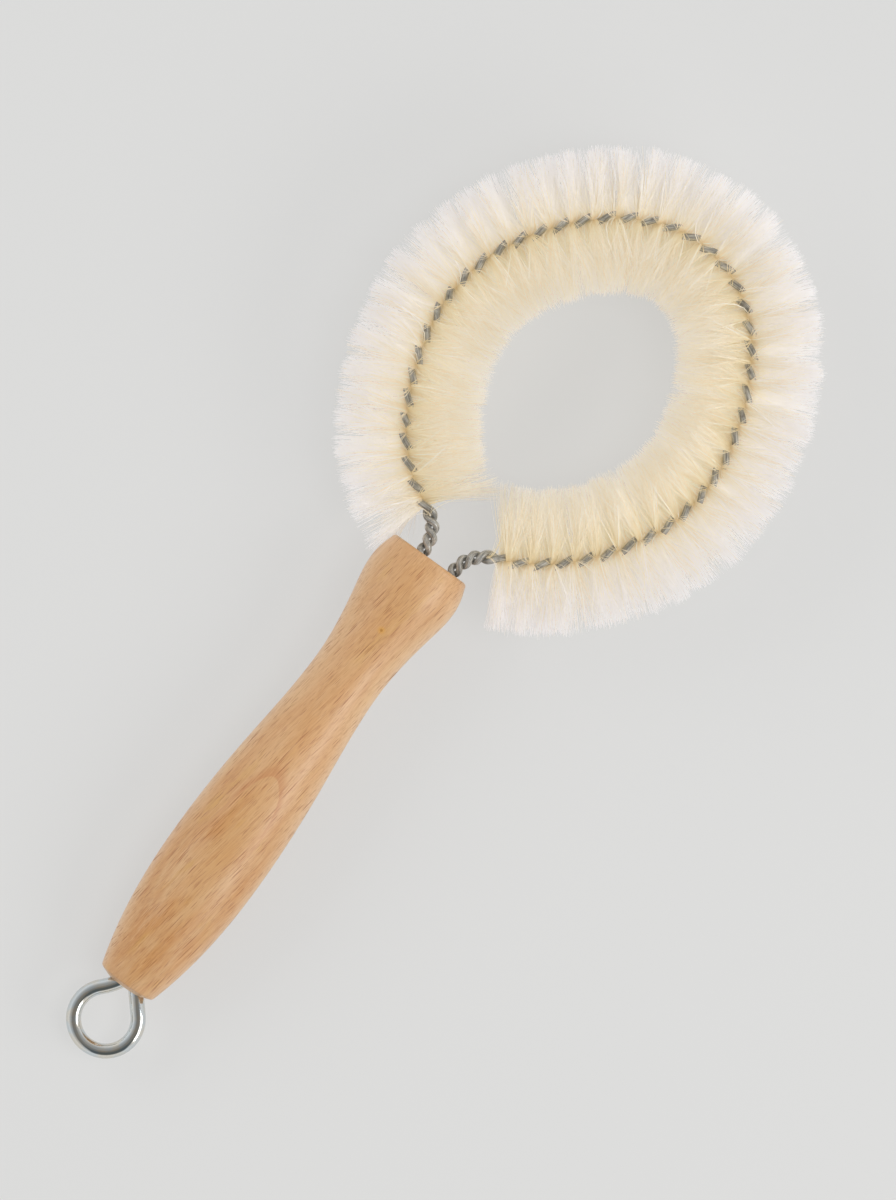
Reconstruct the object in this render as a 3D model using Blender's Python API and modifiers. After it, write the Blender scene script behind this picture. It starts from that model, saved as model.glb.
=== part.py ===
# Brush for stemmed glasses: a turned beech handle with a screw eye in its butt, and a head of
# two wires twisted together round natural bristle and bent to an oval loop.
#
# Lengths are in metres. Everything is drawn in the brush's own plane, with the handle's axis
# along +X from its butt at X = 0, and the loop lying in XY. An empty then tips that plane, so
# that the handle's belly and the bristles nearest to it both touch the ground at Z = 0.

import math
import random

import bmesh
import bpy
import numpy as np
from mathutils import Vector

# Clearances and merging
seat_gap = 0.0003
cut_overrun = 0.002
merge_distance = 0.00001
smooth_angle = math.radians(35)

# Handle: lengths along it are shares of its length, counted from the butt
handle_length = 0.125
butt_flat_radius = 0.0046
butt_radius = 0.0074
butt_dome = 0.0011
belly_radius = 0.0122
taper_radius = 0.0110
waist_radius = 0.0088
flare_radius = 0.0113
collar_radius = 0.01205
shoulder_radius = 0.0107
edge_round = 0.0011
belly_share = 0.304
taper_share = 0.504
waist_share = 0.728
flare_share = 0.888
collar_share = 0.938
butt_slope = 0.30
taper_slope = -0.092
flare_slope = 0.20
shoulder_slope = -0.42
handle_segments = 32
stretch_segments = 5
edge_segments = 3
beech_colour = (0.62, 0.40, 0.21)

# Screw eye: its ring hangs under the butt, a little to one side of the handle's axis
eye_wire = 0.0036
eye_ring_radius = 0.0077
eye_ring_drop = 0.0090
eye_ring_offset = -0.0010
eye_shank_length = 0.0190
eye_point_length = 0.0035
eye_point_share = 0.12
eye_neck_depth = 0.0050
eye_neck_reach = 0.0030
eye_neck_turn = math.radians(45)
eye_tail_turn = math.radians(-49)
eye_ring_segments = 36
eye_neck_segments = 8
eye_roundness = 3
zinc_colour = (0.72, 0.74, 0.76)

# Stem: two wires in a left-hand twist, first a bare leg, then the loop, then a bare leg
wire_diameter = 0.0016
wire_gap = 0.00035
leg_pitch_share = 3.56
leg_pitch = leg_pitch_share * wire_diameter
pitch_ease = 0.004
fill_turns = 22.5
twist_hand = -1
stem_hole_depth = 0.017
left_hole_offset = 0.0026
right_hole_offset = -0.0062
leg_lead = 0.0008
leg_rise = 0.0042
leg_sweep = 0.0040
loop_radius = 0.0412
loop_oval = 0.0037
loop_square = 0.00085
loop_turn = math.radians(-9)
loop_ahead = 0.0530
loop_offset = -0.0053
loop_left_angle = math.radians(162.6)
loop_right_angle = math.radians(-170.2)
points_per_turn = 9
stem_wire_roundness = 1
path_step = 0.15 * wire_diameter
galvanised_colour = (0.42, 0.42, 0.41)

# Bristles: a mat of fibres lies between the wires, and its edges fray out into strands
mat_thickness = 0.0004
mat_width_share = 1.25
mat_width = mat_width_share * wire_diameter
bristle_reach = 0.0185
bristle_tip = 0.0004
bristle_trim = 0.0006
bristle_flat = 0.0005
splay_turn = math.radians(8)
splay_length = 0.0065
tuft_count = 22
strands_each_side = 10
trim_seed = 7
bristle_colour = (0.86, 0.76, 0.58)

leg_spread = (wire_diameter + wire_gap) / 2
fill_spread = (wire_diameter + mat_thickness) / 2 + seat_gap
leg_radius = leg_spread + wire_diameter / 2
stem_hole_radius = leg_radius + seat_gap


def clear_scene():
    for obj in list(bpy.data.objects):
        bpy.data.objects.remove(obj, do_unlink=True)


def new_collection(name):
    collection = bpy.data.collections.new(name)
    bpy.context.scene.collection.children.link(collection)
    return collection


def finish_material(name, colour, roughness, metallic):
    material = bpy.data.materials.new(name)
    material.use_nodes = True
    shader = material.node_tree.nodes["Principled BSDF"]
    shader.inputs["Base Color"].default_value = (*colour, 1)
    shader.inputs["Roughness"].default_value = roughness
    shader.inputs["Metallic"].default_value = metallic
    return material


def place(obj, collection, plane):
    """Puts an object in its collection and hangs it on the brush's plane."""
    for holder in list(obj.users_collection):
        holder.objects.unlink(obj)
    collection.objects.link(obj)
    obj.parent = plane
    return obj


def bezier(start, lean_out, lean_in, end, count):
    """Points of a cubic curve from start to end, without its start."""
    points = []
    for k in range(1, count + 1):
        t = k / count
        points.append(start * (1 - t) ** 3 + lean_out * 3 * t * (1 - t) ** 2
                      + lean_in * 3 * t * t * (1 - t) + end * t ** 3)
    return points


# Handle

def handle_stations():
    """Place, radius and slope where the turned outline changes, from butt to shoulder."""
    return [
        (butt_dome, butt_radius, butt_slope),
        (belly_share * handle_length, belly_radius, 0),
        (taper_share * handle_length, taper_radius, taper_slope),
        (waist_share * handle_length, waist_radius, 0),
        (flare_share * handle_length, flare_radius, flare_slope),
        (collar_share * handle_length, collar_radius, 0),
        (handle_length - edge_round, shoulder_radius, shoulder_slope),
    ]


def handle_outline():
    """The outline as places and radii from butt to top, flowing through its stations."""
    outline = [(0, butt_flat_radius)]
    stations = handle_stations()
    outline.append(stations[0][:2])
    for (x0, r0, m0), (x1, r1, m1) in zip(stations, stations[1:]):
        run = x1 - x0
        for k in range(1, stretch_segments + 1):
            t = k / stretch_segments
            radius = ((2 * t ** 3 - 3 * t * t + 1) * r0 + (3 * t * t - 2 * t ** 3) * r1
                      + (t ** 3 - 2 * t * t + t) * run * m0 + (t ** 3 - t * t) * run * m1)
            outline.append((x0 + t * run, radius))
    for k in range(1, edge_segments + 1):
        turn = math.pi / 2 * k / edge_segments
        outline.append((handle_length - edge_round * (1 - math.sin(turn)),
                        shoulder_radius - edge_round * (1 - math.cos(turn))))
    return outline


def turned_handle(collection, plane):
    """The outline turned about the handle's axis, which is then laid along +X."""
    outline = handle_outline()
    points = [(0, 0, handle_length)]
    points += [(radius, 0, height) for height, radius in reversed(outline)]
    points.append((0, 0, 0))
    mesh = bpy.data.meshes.new("handle")
    mesh.from_pydata(points, [(k, k + 1) for k in range(len(points) - 1)], [])
    handle = bpy.data.objects.new("handle", mesh)
    place(handle, collection, plane)
    handle.rotation_euler = (0, math.pi / 2, 0)
    turning = handle.modifiers.new("turning", "SCREW")
    turning.axis = "Z"
    turning.steps = handle_segments
    turning.render_steps = handle_segments
    turning.use_merge_vertices = True
    turning.merge_threshold = merge_distance
    turning.use_smooth_shade = True
    return handle


def stem_hole_cutter(name, offset, collection, plane):
    bpy.ops.mesh.primitive_cylinder_add(
        vertices=24, radius=stem_hole_radius, depth=stem_hole_depth + cut_overrun)
    cutter = bpy.context.object
    cutter.name = name
    cutter.data.shade_smooth()
    cutter.data.set_sharp_from_angle(angle=smooth_angle)
    place(cutter, collection, plane)
    cutter.rotation_euler = (0, math.pi / 2, 0)
    cutter.location = (handle_length - (stem_hole_depth - cut_overrun) / 2, offset, 0)
    return cutter


def cut(obj, cutter):
    cutter.hide_render = True
    cutter.display_type = "WIRE"
    hole = obj.modifiers.new("cut_by_" + cutter.name, "BOOLEAN")
    hole.operation = "DIFFERENCE"
    hole.solver = "EXACT"
    hole.object = cutter


# Screw eye

def on_ring(turn):
    """A point of the ring's centre line, and the way in which the wire runs there."""
    outward = Vector((math.cos(turn), math.sin(turn), 0))
    centre = Vector((-eye_ring_drop, eye_ring_offset, 0))
    return centre + eye_ring_radius * outward, Vector((-outward.y, outward.x, 0))


def eye_shank_and_neck():
    """Centre line from the gimlet point through the neck to where the ring begins."""
    ahead = Vector((1, 0, 0))
    tip = ahead * eye_shank_length
    shoulder = ahead * (eye_shank_length - eye_point_length)
    neck = ahead * eye_neck_depth
    leave, heading = on_ring(eye_neck_turn)
    return [tip, shoulder, neck] + bezier(neck, neck - ahead * eye_neck_reach,
                                          leave - heading * eye_neck_reach, leave,
                                          eye_neck_segments)


def eye_ring_and_tail():
    """Centre line round the ring and then straight on to the butt."""
    sweep = 2 * math.pi + eye_tail_turn - eye_neck_turn
    points = [on_ring(eye_neck_turn + sweep * k / eye_ring_segments)[0]
              for k in range(1, eye_ring_segments + 1)]
    start, heading = on_ring(eye_tail_turn)
    points.append(start - heading * (start.x + seat_gap) / heading.x)
    return points


def round_wire(name, points, radius, roundness, collection, plane):
    """A curve with filled ends and a round section along the points."""
    curve = bpy.data.curves.new(name, "CURVE")
    curve.dimensions = "3D"
    curve.bevel_depth = radius
    curve.bevel_resolution = roundness
    curve.use_fill_caps = True
    spline = curve.splines.new("POLY")
    spline.points.add(len(points) - 1)
    for point, where in zip(spline.points, points):
        point.co = (*where, 1)
    wire = bpy.data.objects.new(name, curve)
    return place(wire, collection, plane)


def eye_solid(name, points, gap, collection, plane):
    """The eye's wire along the points, fatter by a gap all round, as a closed mesh."""
    curve = round_wire(name, points, eye_wire / 2 + gap, eye_roundness, collection, plane)
    tip = curve.data.splines[0].points[0]
    tip.co.x += gap
    tip.radius = (eye_wire / 2 * eye_point_share + gap) / (eye_wire / 2 + gap)
    bpy.context.view_layer.update()
    graph = bpy.context.evaluated_depsgraph_get()
    mesh = bpy.data.meshes.new_from_object(curve.evaluated_get(graph))
    bpy.data.objects.remove(curve, do_unlink=True)
    shape = bmesh.new()
    shape.from_mesh(mesh)
    bmesh.ops.remove_doubles(shape, verts=shape.verts, dist=merge_distance)
    shape.to_mesh(mesh)
    shape.free()
    return place(bpy.data.objects.new(name, mesh), collection, plane)


def screw_eye(collection, plane):
    """The whole wire, its free end cut at a slant so that it lies flat against the butt."""
    points = eye_shank_and_neck() + eye_ring_and_tail()
    eye = eye_solid("screw_eye", points, 0, collection, plane)
    heading = on_ring(eye_tail_turn)[1]
    for vertex in eye.data.vertices:
        if (vertex.co - points[-1]).length < eye_wire / 2 + merge_distance:
            vertex.co -= heading * (vertex.co.x + seat_gap) / heading.x
    return eye


def eye_recess_cutter(collection, plane):
    """The shank and neck, fatter by the seat gap: the shape that they leave in the butt."""
    return eye_solid("eye_recess", eye_shank_and_neck(), seat_gap, collection, plane)


# Stem

def loop_point(turn):
    """A point of the loop's centre line: a circle drawn out to a slightly squared oval."""
    lag = turn - loop_turn
    radius = loop_radius + loop_oval * math.cos(2 * lag) + loop_square * math.cos(4 * lag)
    return Vector((handle_length + loop_ahead + radius * math.cos(turn),
                   loop_offset + radius * math.sin(turn), 0))


def leg_points(offset, join, heading, count):
    """A leg from the bottom of its hole, up out of the wood, and round into the loop."""
    bottom = Vector((handle_length - stem_hole_depth + wire_diameter / 2 + seat_gap, offset, 0))
    mouth = Vector((handle_length + leg_lead, offset, 0))
    ahead = Vector((1, 0, 0))
    points = [bottom.lerp(mouth, k / count) for k in range(count + 1)]
    return points + bezier(mouth, mouth + ahead * leg_rise, join - heading * leg_sweep, join,
                           count)


def stem_centre_line():
    """The whole stem's centre line, and the first and last index of its loop."""
    sweep = loop_left_angle - loop_right_angle
    count = math.ceil(sweep * loop_radius / path_step)
    loop = [loop_point(loop_left_angle - sweep * k / count) for k in range(count + 1)]
    leg_count = math.ceil(stem_hole_depth / path_step)
    left = leg_points(left_hole_offset, loop[0], (loop[1] - loop[0]).normalized(), leg_count)
    right = leg_points(right_hole_offset, loop[-1], (loop[-2] - loop[-1]).normalized(),
                       leg_count)
    line = left[:-1] + loop + right[-2::-1]
    first = len(left) - 1
    return line, first, first + count


def twisted_stem():
    """Tables along the stem: distance, place, heading, phase of the twist, wire spread."""
    line, first, last = stem_centre_line()
    places = np.array([point[:2] for point in line])
    steps = np.hypot(*np.diff(places, axis=0).T)
    distance = np.concatenate([[0], np.cumsum(steps)])
    slope = np.gradient(places, distance, axis=0)
    fill_start = distance[first]
    fill_end = distance[last]
    fill_pitch = (fill_end - fill_start) / fill_turns
    outside = np.maximum(fill_start - distance, distance - fill_end)
    share = np.clip(1 - outside / pitch_ease, 0, 1)
    share = share * share * (3 - 2 * share)
    pitch = leg_pitch + (fill_pitch - leg_pitch) * share
    rate = 2 * math.pi / pitch
    phase = np.concatenate([[0], np.cumsum((rate[1:] + rate[:-1]) / 2 * steps)])
    phase += math.pi / 2 - phase[first]
    return {
        "distance": distance,
        "places": places,
        "heading": np.unwrap(np.arctan2(slope[:, 1], slope[:, 0])),
        "phase": phase,
        "spread": leg_spread + (fill_spread - leg_spread) * share,
        "fill_start": fill_start,
        "fill_end": fill_end,
    }


def stem_frame(stem, at):
    """Centre, tangent, the way from centre to wire, the way the fibres lie, and the spread."""
    centre = Vector((np.interp(at, stem["distance"], stem["places"][:, 0]),
                     np.interp(at, stem["distance"], stem["places"][:, 1]), 0))
    heading = np.interp(at, stem["distance"], stem["heading"])
    phase = twist_hand * np.interp(at, stem["distance"], stem["phase"])
    tangent = Vector((math.cos(heading), math.sin(heading), 0))
    sideways = Vector((-math.sin(heading), math.cos(heading), 0))
    upright = Vector((0, 0, 1))
    to_wire = sideways * math.cos(phase) + upright * math.sin(phase)
    fibre = upright * math.cos(phase) - sideways * math.sin(phase)
    return centre, tangent, to_wire, fibre, np.interp(at, stem["distance"], stem["spread"])


def wire_points(stem, side):
    """Points of one wire, evenly spread over the turns of the twist."""
    phase = stem["phase"]
    count = round((phase[-1] - phase[0]) / (2 * math.pi) * points_per_turn)
    points = []
    for target in np.linspace(phase[0], phase[-1], count + 1):
        centre, _, to_wire, _, spread = stem_frame(stem, np.interp(target, phase, stem["distance"]))
        points.append(centre + to_wire * spread * side)
    return points


def least_wire_gap(stem):
    """The smallest distance between the two wires' surfaces, measured on dense points."""
    at = np.arange(0, stem["distance"][-1], path_step)
    rows = [stem_frame(stem, where) for where in at]
    one = np.array([centre + to_wire * spread for centre, _, to_wire, _, spread in rows])
    two = np.array([centre - to_wire * spread for centre, _, to_wire, _, spread in rows])
    reach = int(leg_pitch / path_step)
    least = min(np.linalg.norm(one[k:] - two[:len(two) - k], axis=1).min() for k in range(reach))
    return least - wire_diameter


# Bristles

def strand_tip(stem, at, fibre_side, reach, tilt, lift):
    """Four corners of a strand's tip, cut flat where it would reach below the ground."""
    centre, tangent, to_wire, fibre, _ = stem_frame(stem, at)
    way = fibre * fibre_side
    sideways = Vector((-tangent.y, tangent.x, 0))
    to_end = min(at - stem["fill_start"], stem["fill_end"] - at)
    outward = max(0, way.dot(sideways))
    lean = splay_turn * outward * max(0, 1 - to_end / splay_length)
    back = -1 if at < (stem["fill_start"] + stem["fill_end"]) / 2 else 1
    way = way * math.cos(lean) + tangent * back * math.sin(lean)
    middle = centre + way * reach
    half = bristle_tip / 2
    corners = [middle - tangent * half - to_wire * half, middle - tangent * half + to_wire * half,
               middle + tangent * half + to_wire * half, middle + tangent * half - to_wire * half]
    for corner in corners:
        ground = -(lift + corner.x * math.sin(tilt)) / math.cos(tilt)
        corner.z = max(corner.z, ground)
    return corners


def bristle_tuft(name, stem, start, end, trims, tilt, lift, collection, plane):
    """A slice of the twisted mat between the wires, each cell fraying out at both edges."""
    shape = bmesh.new()
    stations = [start + (end - start) * k / strands_each_side for k in range(strands_each_side + 1)]
    half_width = mat_width / 2
    half_thick = mat_thickness / 2
    rings = []
    for at in stations:
        centre, _, to_wire, fibre, _ = stem_frame(stem, at)
        rings.append([shape.verts.new(centre + fibre * half_width * across + to_wire * half_thick * up)
                      for across, up in ((-1, -1), (-1, 1), (1, 1), (1, -1))])
    shape.faces.new(rings[0])
    shape.faces.new(rings[-1])
    for k, (near, far) in enumerate(zip(rings, rings[1:])):
        shape.faces.new((near[1], near[2], far[2], far[1]))
        shape.faces.new((near[3], near[0], far[0], far[3]))
        middle = (stations[k] + stations[k + 1]) / 2
        for fibre_side, low, high in ((-1, 0, 1), (1, 3, 2)):
            reach = bristle_reach - bristle_trim * trims.random()
            root = [near[low], near[high], far[high], far[low]]
            tip = [shape.verts.new(corner)
                   for corner in strand_tip(stem, middle, fibre_side, reach, tilt, lift)]
            shape.faces.new(tip)
            for j in range(4):
                shape.faces.new((root[j], root[j - 1], tip[j - 1], tip[j]))
    bmesh.ops.recalc_face_normals(shape, faces=shape.faces)
    mesh = bpy.data.meshes.new(name)
    shape.to_mesh(mesh)
    shape.free()
    return place(bpy.data.objects.new(name, mesh), collection, plane)


# How the brush lies

def rest_tilt(stem):
    """The tilt and lift at which belly and nearest bristles share one ground line."""
    low_reach = bristle_reach - bristle_trim - bristle_flat
    at = (stem["distance"] >= stem["fill_start"]) & (stem["distance"] <= stem["fill_end"])
    nearest = stem["places"][at, 0].min()
    outline = handle_outline()
    tilt = math.atan(min((low_reach - radius) / (nearest - x) for x, radius in outline))
    lift = max(radius * math.cos(tilt) - x * math.sin(tilt) for x, radius in outline)
    return tilt, lift


def centre_on_origin(plane, parts, tilt, lift):
    """Tips the plane, then moves it until the parts' box is centred over the origin."""
    plane.rotation_euler = (0, -tilt, 0)
    plane.location = (0, 0, lift)
    bpy.context.view_layer.update()
    graph = bpy.context.evaluated_depsgraph_get()
    corners = []
    for part in parts:
        mesh = bpy.data.meshes.new_from_object(part.evaluated_get(graph))
        corners += [part.matrix_world @ vertex.co for vertex in mesh.vertices]
        bpy.data.meshes.remove(mesh)
    corners = np.array(corners)
    low = corners.min(axis=0)
    high = corners.max(axis=0)
    plane.location.x -= (low[0] + high[0]) / 2
    plane.location.y -= (low[1] + high[1]) / 2
    plane.location.z -= low[2]
    bpy.context.view_layer.update()
    print("box", (high - low).tolist(), "plane at", list(plane.location), "tilt", tilt)


def build():
    clear_scene()
    parts = new_collection("glass_brush")
    cutters = new_collection("cutters")
    plane = bpy.data.objects.new("brush_plane", None)
    parts.objects.link(plane)

    handle = turned_handle(parts, plane)
    handle.data.materials.append(finish_material("beech", beech_colour, 0.55, 0))
    cut(handle, stem_hole_cutter("left_stem_hole", left_hole_offset, cutters, plane))
    cut(handle, stem_hole_cutter("right_stem_hole", right_hole_offset, cutters, plane))
    cut(handle, eye_recess_cutter(cutters, plane))

    eye = screw_eye(parts, plane)
    eye.data.materials.append(finish_material("zinc_plate", zinc_colour, 0.2, 1))

    stem = twisted_stem()
    print("least gap between the stem wires", least_wire_gap(stem))
    for number, side in ((1, 1), (2, -1)):
        name = f"stem_wire_{number}"
        wire = round_wire(name, wire_points(stem, side), wire_diameter / 2, stem_wire_roundness,
                          parts, plane)
        wire.data.materials.append(finish_material(name, galvanised_colour, 0.45, 1))

    tilt, lift = rest_tilt(stem)
    trims = random.Random(trim_seed)
    slice_length = (stem["fill_end"] - stem["fill_start"]) / tuft_count
    for k in range(tuft_count):
        name = f"bristle_tuft_{k + 1:02d}"
        start = stem["fill_start"] + k * slice_length + seat_gap / 2
        tuft = bristle_tuft(name, stem, start, start + slice_length - seat_gap, trims,
                            tilt, lift, parts, plane)
        tuft.data.materials.append(finish_material(name, bristle_colour, 0.6, 0))

    solids = [obj for obj in parts.objects if obj.type in {"MESH", "CURVE"}]
    centre_on_origin(plane, solids, tilt, lift)


build()
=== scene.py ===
# Looks of the brush for stemmed glasses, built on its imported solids. The brush is drawn in its
# own plane, with the handle's axis along +X from the butt, and then laid down as the solids lie.
# Lengths are in metres and turns in radians, unless a comment says otherwise. Colours are
# written as a screen shows them, from 0 to 255, and shown() makes them linear.

import math

import bmesh
import bpy
import numpy as np
from mathutils import Matrix, Vector


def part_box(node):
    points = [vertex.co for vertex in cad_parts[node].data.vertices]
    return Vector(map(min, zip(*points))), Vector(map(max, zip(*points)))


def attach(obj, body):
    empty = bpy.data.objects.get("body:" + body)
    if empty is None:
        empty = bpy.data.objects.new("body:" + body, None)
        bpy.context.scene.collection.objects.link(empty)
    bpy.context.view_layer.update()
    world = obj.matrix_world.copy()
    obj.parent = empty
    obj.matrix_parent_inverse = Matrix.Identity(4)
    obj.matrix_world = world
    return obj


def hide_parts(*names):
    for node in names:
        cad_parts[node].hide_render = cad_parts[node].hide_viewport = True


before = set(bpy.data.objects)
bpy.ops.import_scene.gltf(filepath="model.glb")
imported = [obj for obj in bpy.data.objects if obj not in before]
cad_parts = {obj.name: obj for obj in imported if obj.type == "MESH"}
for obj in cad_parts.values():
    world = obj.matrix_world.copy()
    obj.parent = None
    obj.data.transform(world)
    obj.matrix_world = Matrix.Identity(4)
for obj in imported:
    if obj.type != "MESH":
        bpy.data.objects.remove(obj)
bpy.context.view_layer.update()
scene = bpy.context.scene

# Handle
# One piece of beech, turned on a lathe and sanded smooth. Its flat top is drilled twice for the
# legs of the wire stem, and its butt is bored for the screw eye.
handle_length = 0.125
butt_flat_radius = 0.0046
butt_radius = 0.0074
butt_dome = 0.0011
belly_radius = 0.0122
taper_radius = 0.0110
waist_radius = 0.0088
flare_radius = 0.0113
collar_radius = 0.01205
shoulder_radius = 0.0107
edge_round = 0.0011
belly_share = 0.304
taper_share = 0.504
waist_share = 0.728
flare_share = 0.888
collar_share = 0.938
butt_slope = 0.30
taper_slope = -0.092
flare_slope = 0.20
shoulder_slope = -0.42
butt_softening = 0.0005
softened_corners = 2
softening_steps = 4
turning_steps = 112
stretch_steps = 14
edge_steps = 6
handle_crease = math.radians(35)
hole_depth = 0.017
hole_radius = 0.002075
hole_steps = 40
left_hole_offset = 0.0026
right_hole_offset = -0.0062
weld = 0.00001
grain_relief = 0.00003


def handle_stations():
    """Place, radius and slope where the turned outline changes, from butt to shoulder."""
    return [
        (butt_dome, butt_radius, butt_slope),
        (belly_share * handle_length, belly_radius, 0),
        (taper_share * handle_length, taper_radius, taper_slope),
        (waist_share * handle_length, waist_radius, 0),
        (flare_share * handle_length, flare_radius, flare_slope),
        (collar_share * handle_length, collar_radius, 0),
        (handle_length - edge_round, shoulder_radius, shoulder_slope),
    ]


def handle_outline():
    """The outline as places and radii from butt to top, flowing through its stations."""
    stations = handle_stations()
    outline = [(0, butt_flat_radius), stations[0][:2]]
    for (x0, r0, m0), (x1, r1, m1) in zip(stations, stations[1:]):
        run = x1 - x0
        for k in range(1, stretch_steps + 1):
            t = k / stretch_steps
            radius = ((2 * t ** 3 - 3 * t * t + 1) * r0 + (3 * t * t - 2 * t ** 3) * r1
                      + (t ** 3 - 2 * t * t + t) * run * m0 + (t ** 3 - t * t) * run * m1)
            outline.append((x0 + t * run, radius))
    for k in range(1, edge_steps + 1):
        turn = math.pi / 2 * k / edge_steps
        outline.append((handle_length - edge_round * (1 - math.sin(turn)),
                        shoulder_radius - edge_round * (1 - math.cos(turn))))
    return outline


def softened(outline):
    """The outline with the corners at the butt rounded over a short reach."""
    points = [Vector(point) for point in outline]
    soft = []
    for k, corner in enumerate(points[:softened_corners]):
        before = points[k - 1] if k else Vector((0, 0))
        after = points[k + 1]
        start = corner + (before - corner).normalized() * butt_softening
        end = corner + (after - corner).normalized() * butt_softening
        for j in range(softening_steps + 1):
            t = j / softening_steps
            soft.append(start * (1 - t) ** 2 + corner * 2 * t * (1 - t) + end * t * t)
    return soft + points[softened_corners:]


# The brush rests on the handle's belly and on the bristles nearest to the handle, so the sizes
# of the loop and the length of the bristles are needed here
loop_radius = 0.0412
loop_oval = 0.0037
loop_square = 0.00085
loop_turn = math.radians(-9)
loop_ahead = 0.0530
loop_offset = -0.0053
loop_left_angle = math.radians(162.6)
loop_right_angle = math.radians(-170.2)
bristle_reach = 0.0185
bristle_trim = 0.0006
bristle_flat = 0.0005


def loop_point(turn):
    """A point of the stem's loop: a circle drawn out to a slightly squared oval."""
    lag = turn - loop_turn
    radius = loop_radius + loop_oval * math.cos(2 * lag) + loop_square * math.cos(4 * lag)
    return Vector((handle_length + loop_ahead + radius * math.cos(turn),
                   loop_offset + radius * math.sin(turn), 0))


outline = handle_outline()
low_reach = bristle_reach - bristle_trim - bristle_flat
nearest = min(loop_point(loop_left_angle).x, loop_point(loop_right_angle).x)
tilt = math.atan(min((low_reach - radius) / (nearest - x) for x, radius in outline))
lift = max(radius * math.cos(tilt) - x * math.sin(tilt) for x, radius in outline)
handle_low, handle_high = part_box("handle")
butt_place = Vector((handle_low.x + butt_flat_radius * math.sin(tilt),
                     (handle_low.y + handle_high.y) / 2, lift))
lie = Matrix.Translation(butt_place) @ Matrix.Rotation(-tilt, 4, "Y")


def shown_mesh(obj, all_layers=False):
    """A plain mesh of what an object shows, with its modifiers or its bevel applied."""
    graph = bpy.context.evaluated_depsgraph_get()
    return bpy.data.meshes.new_from_object(
        obj.evaluated_get(graph), preserve_all_data_layers=all_layers, depsgraph=graph)


def plain_mesh(obj):
    """Turns what the modifiers make into the object's own mesh and removes them."""
    mesh = shown_mesh(obj)
    obj.modifiers.clear()
    obj.data = mesh


def cut_away(obj, cutter):
    """Cuts the cutter out of the object and removes it."""
    hole = obj.modifiers.new("hole", "BOOLEAN")
    hole.operation = "DIFFERENCE"
    hole.solver = "EXACT"
    hole.object = cutter
    plain_mesh(obj)
    bpy.data.objects.remove(cutter, do_unlink=True)


def surface(mesh, material, crease):
    """Gives a mesh its one material, and smooth faces between edges sharper than the crease."""
    mesh.materials.clear()
    mesh.materials.append(material)
    mesh.shade_smooth()
    mesh.set_sharp_from_angle(angle=crease)


def turned_handle():
    """The outline turned round the handle's axis, without its holes."""
    points = [(0, 0, handle_length)]
    points += [(r, 0, x) for x, r in reversed(softened(outline))]
    points.append((0, 0, 0))
    mesh = bpy.data.meshes.new("handle_turned")
    mesh.from_pydata(points, [(k, k + 1) for k in range(len(points) - 1)], [])
    handle = bpy.data.objects.new("handle_turned", mesh)
    scene.collection.objects.link(handle)
    turning = handle.modifiers.new("turning", "SCREW")
    turning.axis = "Z"
    turning.steps = turning_steps
    turning.render_steps = turning_steps
    turning.use_merge_vertices = True
    turning.merge_threshold = weld
    plain_mesh(handle)
    handle.data.transform(Matrix.Rotation(math.pi / 2, 4, "Y"))
    return handle


def shown(red, green, blue):
    """A colour as a screen shows it, as the linear colour that a shader takes."""
    parts = [part / 255 for part in (red, green, blue)]
    return (*[x / 12.92 if x <= 0.04045 else ((x + 0.055) / 1.055) ** 2.4 for x in parts], 1)


# Patterns in the wood. Sizes and places are in millimetres, along the handle, across it and up
millimetre = 0.001
grain_turn = math.radians(-9)
grain_sway = 1.6
sway_size = (24.0, 9.0, 14.0)
patch_size = (22.0, 5.0, 8.0)
blotch_size = (14.0, 4.0, 6.0)
streak_size = (9.0, 0.32, 1.6)
fibre_size = (4.0, 0.13, 0.5)
ring_height = 11.15
ring_apex = 59.2
ring_slope = 0.012
ring_radius = 30.0
ring_sway = 0.9
ring_edge_begins = (-0.55, 0.0)
ring_edge_ends = (0.0, -0.05)
ring_depth = 0.8
ring_butt_end = (40.0, 56.0)
ring_top_end = (80.0, 62.0)
inside_begins = (20.0, 40.0)
bands_each = 0.75
pin_knot = (104.5, -0.4)
knot_reach = (1.3, 0.4)
knot_heart_reach = (0.5, 0.15)
top_half = (0.0, 2.0)

# Kinds of fleck: size, the least luck that lets one show, girth and strength
long_fleck = ((11.0, 0.34, 7.0), 0.3, 0.26, 1.0)
short_fleck = ((5.5, 0.28, 5.0), 0.2, 0.28, 0.8)
fine_fleck = ((3.4, 0.18, 4.0), 0.1, 0.3, 0.5)
least_girth_share = 0.4
luck_ease = 0.3
fleck_edge = (1.0, 0.5)

# Colours laid over each other, here and below: how much each covers, the colour, and the values
# of its pattern at which it begins and is full, unless the pattern is itself a share
wood_pale = shown(212, 169, 121)
patch_brown = (1.0, shown(202, 146, 88), (0.3, 0.7))
band_brown = (0.35, shown(200, 145, 92), (0.42, 0.66))
blotch_gold = (0.6, shown(206, 157, 82), (0.56, 0.72))
blotch_pink = (0.4, shown(216, 178, 138), (0.46, 0.26))
inside_gold = (0.25, shown(202, 151, 88))
top_pale = (0.4, shown(224, 182, 136), (42.0, 66.0))
# Painted sheen: the flanks, low beside the axis as the brush lies, are painted paler
flank_painted_sheen = (0.5, shown(232, 198, 158), (8.5, 3.0))
ring_red = (0.55, shown(190, 124, 76))
streak_brown = (0.35, shown(180, 120, 70), (0.5, 0.7))
streak_pale = (0.35, shown(228, 188, 144), (0.48, 0.3))
fibre_brown = (0.35, shown(162, 104, 58), (0.48, 0.74))
fleck_brown = (0.8, shown(148, 78, 30))
knot_gold = (0.5, shown(222, 164, 70))
knot_brown = (0.75, shown(170, 112, 40))


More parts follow.
